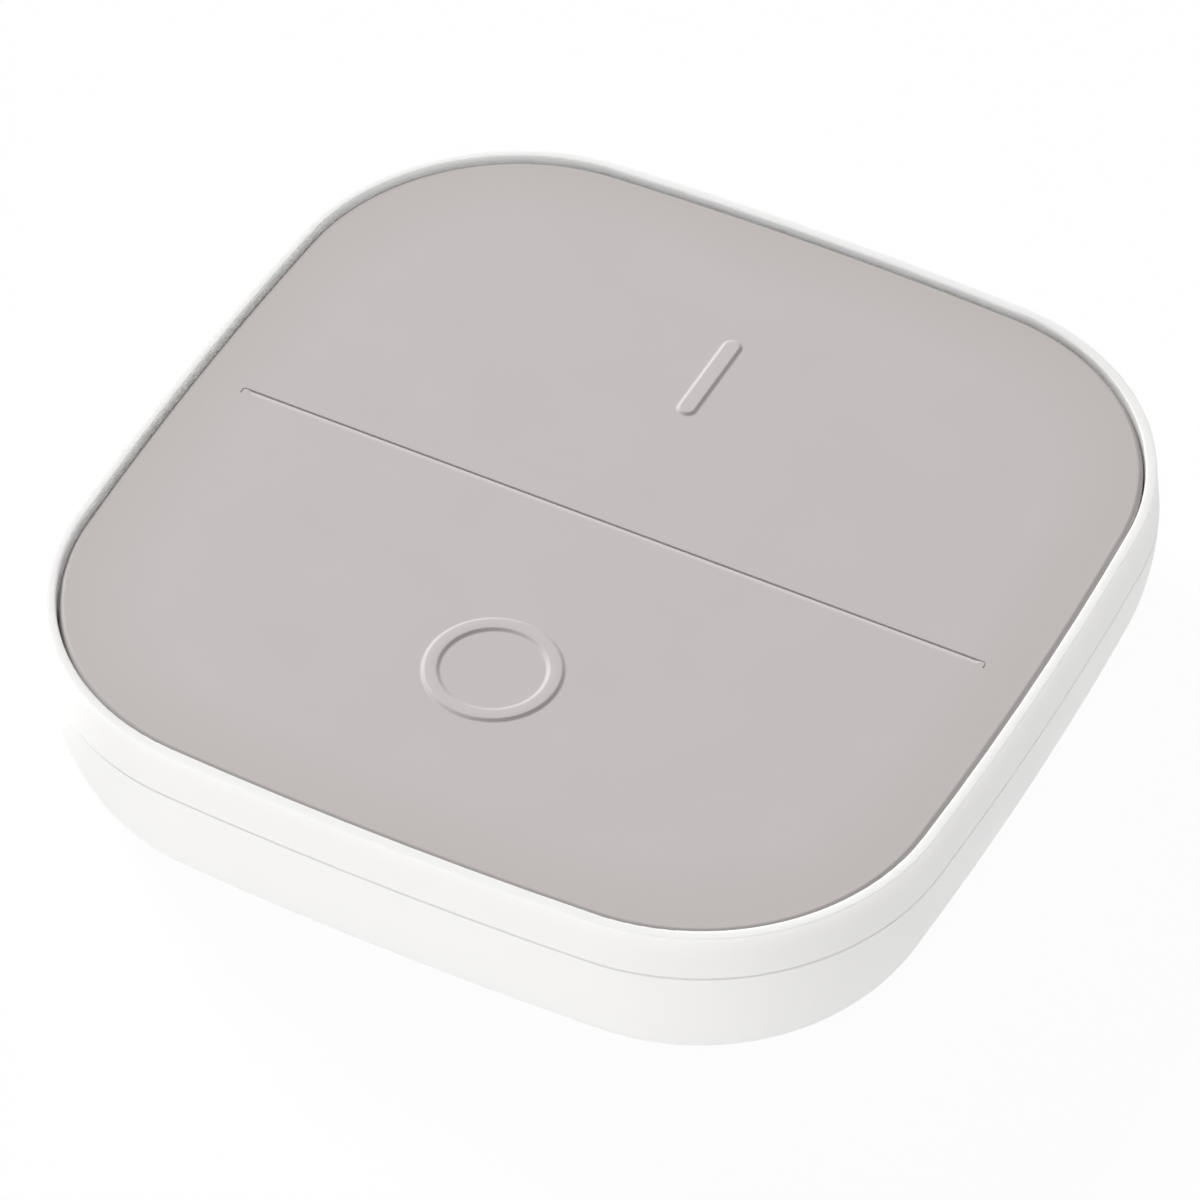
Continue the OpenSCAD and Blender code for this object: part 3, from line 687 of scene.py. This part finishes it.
def dress(piece, made):
    """Gives an object one material in all its slots."""
    piece.data.materials.clear()
    piece.data.materials.append(made)


def dress_nodes(made):
    """Gives every carried node the material of its slot in the record."""
    for name, carried in nodes.items():
        slot = carried.data.materials[0].name.split(".")[0]
        dress(carried, made[slot])


# Stage

CAMERA_AZ = 27.63
CAMERA_EL = 45.71
CAMERA_FAR = 638.6
CAMERA_SHIFT = (0.423, -6.154)
LENS = 235.0
SENSOR = 36
CAMERA_CLIP = (0.05, 20)


def camera():
    """Camera at the photograph's angle, distance and framing, aimed from the middle of the rim's top."""
    az, el = math.radians(CAMERA_AZ), math.radians(CAMERA_EL)
    back = Vector((math.sin(az) * math.cos(el), -math.cos(az) * math.cos(el), math.sin(el)))
    right = Vector((math.cos(az), math.sin(az), 0))
    up = back.cross(right)
    lens = bpy.data.cameras.new("camera")
    lens.lens = LENS
    lens.sensor_width = SENSOR
    lens.clip_start, lens.clip_end = CAMERA_CLIP
    seat = bpy.data.objects.new("camera", lens)
    middle = Vector((0, 0, RIM_Z))
    place = middle + CAMERA_FAR * back - CAMERA_SHIFT[0] * right + CAMERA_SHIFT[1] * up
    turn = Matrix((right, up, back)).transposed().to_4x4()
    seat.matrix_world = Matrix.Translation(place * MM) @ turn
    bpy.context.scene.collection.objects.link(seat)
    bpy.context.scene.camera = seat


def seen(tree):
    """1 for rays that show a surface to the camera, directly or in a mirror or glass, else 0."""
    path = node(tree, "ShaderNodeLightPath")
    first = node(tree, "ShaderNodeMath", operation="MAXIMUM")
    tree.links.new(path.outputs["Is Camera Ray"], first.inputs[0])
    tree.links.new(path.outputs["Is Glossy Ray"], first.inputs[1])
    both = node(tree, "ShaderNodeMath", operation="MAXIMUM")
    tree.links.new(first.outputs[0], both.inputs[0])
    tree.links.new(path.outputs["Is Transmission Ray"], both.inputs[1])
    return both.outputs[0]


FLOOR_SIZE = 8.0
# The sheet lies just clear of the feet, so that their soles don't share its plane
FLOOR_CLEAR = 0.02
FLOOR_HAZE = 0.04
FLOOR_COLOUR = srgb(250, 250, 250)
# World light by height of the direction, from straight down to straight up: an even part all
# round, and the bright table's part, which is stronger on the right and in front
EVEN_LIGHT = ((-1.0, 0.0), (-0.03, 0.0), (0.03, 0.36), (1.0, 0.36))
TABLE_LIGHT = (
    (-1.0, 0.15), (-0.6, 0.15), (-0.35, 0.8), (-0.2, 2.05), (-0.1, 2.4), (0.0, 2.0), (0.08, 0.3),
    (0.2, 0.0), (1.0, 0.0),
)
# Direction of the table's strong side, its factors away from it and towards it, and where they hold
TABLE_SIDE = (0.8, -0.6, 0)
TABLE_LEVELS = (0.05, 1.08)
TABLE_TURN = (-0.9, 0.0)
# Softboxes: direction, distance and size in metres, and level
MAIN_SOFTBOX = ((-0.914, 0.407, 0.6), 6.0, (1.8, 1.8), 1.16)
FRONT_SOFTBOX = ((-0.4, -0.91, -0.1), 1.2, (1.0, 0.2), 0.345)


def floor():
    """Pale translucent sheet of a light table: takes the part's shadow, lets light through from below."""
    shape = bmesh.new()
    bmesh.ops.create_grid(shape, x_segments=8, y_segments=8, size=FLOOR_SIZE / 2)
    mesh = bpy.data.meshes.new("floor")
    shape.to_mesh(mesh)
    shape.free()
    sheet = bpy.data.objects.new("floor", mesh)
    sheet.location.z = -FLOOR_CLEAR * MM
    bpy.context.scene.collection.objects.link(sheet)
    made = bpy.data.materials.new("floor_sheet")
    made.use_nodes = True
    tree = made.node_tree
    tree.nodes.clear()
    haze = node(tree, "ShaderNodeBsdfDiffuse", Color=FLOOR_COLOUR)
    clear = node(tree, "ShaderNodeBsdfTransparent")
    mixed = node(tree, "ShaderNodeMixShader", Fac=FLOOR_HAZE)
    tree.links.new(clear.outputs[0], mixed.inputs[1])
    tree.links.new(haze.outputs[0], mixed.inputs[2])
    out = node(tree, "ShaderNodeOutputMaterial")
    tree.links.new(mixed.outputs[0], out.inputs["Surface"])
    mesh.materials.append(made)


def level_curve(tree, height, points):
    """Light level read from a curve of points over height, which runs from -1 to 1."""
    made = node(tree, "ShaderNodeFloatCurve")
    made.mapping.use_clip = False
    curve = made.mapping.curves[0]
    places = [((z + 1) / 2, level) for z, level in points]
    curve.points[0].location = places[0]
    curve.points[1].location = places[-1]
    for place in places[1:-1]:
        curve.points.new(*place)
    for point in curve.points:
        point.handle_type = "VECTOR"
    made.mapping.update()
    tree.links.new(spread(tree, height, 0, 1, -1, 1), made.inputs["Value"])
    return made.outputs[0]


def world():
    """Pale light, strongest from the bright table below the horizon, shown as plain white."""
    made = bpy.data.worlds.new("studio")
    made.use_nodes = True
    tree = made.node_tree
    tree.nodes.clear()
    way = node(tree, "ShaderNodeTexCoord").outputs["Generated"]
    split = node(tree, "ShaderNodeSeparateXYZ")
    tree.links.new(way, split.inputs["Vector"])
    side = node(tree, "ShaderNodeVectorMath", operation="DOT_PRODUCT")
    tree.links.new(way, side.inputs[0])
    side.inputs[1].default_value = TABLE_SIDE
    table = node(tree, "ShaderNodeMath", operation="MULTIPLY")
    tree.links.new(level_curve(tree, split.outputs["Z"], TABLE_LIGHT), table.inputs[0])
    tree.links.new(spread(tree, side.outputs["Value"], *TABLE_LEVELS, *TABLE_TURN), table.inputs[1])
    total = node(tree, "ShaderNodeMath", operation="ADD")
    tree.links.new(level_curve(tree, split.outputs["Z"], EVEN_LIGHT), total.inputs[0])
    tree.links.new(table.outputs[0], total.inputs[1])
    light = node(tree, "ShaderNodeBackground")
    light.inputs["Color"].default_value = (1, 1, 1, 1)
    tree.links.new(total.outputs[0], light.inputs["Strength"])
    white = node(tree, "ShaderNodeBackground", Strength=1.0)
    white.inputs["Color"].default_value = (1, 1, 1, 1)
    mixed = node(tree, "ShaderNodeMixShader")
    tree.links.new(seen(tree), mixed.inputs["Fac"])
    tree.links.new(light.outputs[0], mixed.inputs[1])
    tree.links.new(white.outputs[0], mixed.inputs[2])
    out = node(tree, "ShaderNodeOutputWorld")
    tree.links.new(mixed.outputs[0], out.inputs["Surface"])
    bpy.context.scene.world = made


def softbox(name, toward, far, size, level):
    """Soft rectangular lamp; level is the light that it adds to a white surface square to it."""
    lamp = bpy.data.lights.new(name, "AREA")
    lamp.shape = "RECTANGLE"
    lamp.size, lamp.size_y = size
    lamp.energy = level * (math.pi * far) ** 2
    box = bpy.data.objects.new(name, lamp)
    way = Vector(toward).normalized()
    box.location = way * far
    box.rotation_mode = "QUATERNION"
    box.rotation_quaternion = way.to_track_quat("Z", "Y")
    bpy.context.scene.collection.objects.link(box)


def studio():
    """White world, pale floor, a main softbox at the left and a low one in front."""
    world()
    floor()
    softbox("main_softbox", *MAIN_SOFTBOX)
    softbox("front_softbox", *FRONT_SOFTBOX)
    bpy.context.scene.view_settings.view_transform = "Standard"


camera()
studio()
finishes = all_materials()
dress_nodes(finishes)

face = face_mesh()
dress(face, finishes["face_softtouch"])
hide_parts("face_plate")
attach(face, "rocker")

soft_pieces = (
    (dome_mesh(), "keypad_domes", "dome_silicone"),
    (pill_mesh(), "carbon_pills", "pill_carbon"),
)
for piece, replaced, slot in soft_pieces:
    dress(piece, finishes[slot])
    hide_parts(replaced)
    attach(piece, "housing")
    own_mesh(piece)
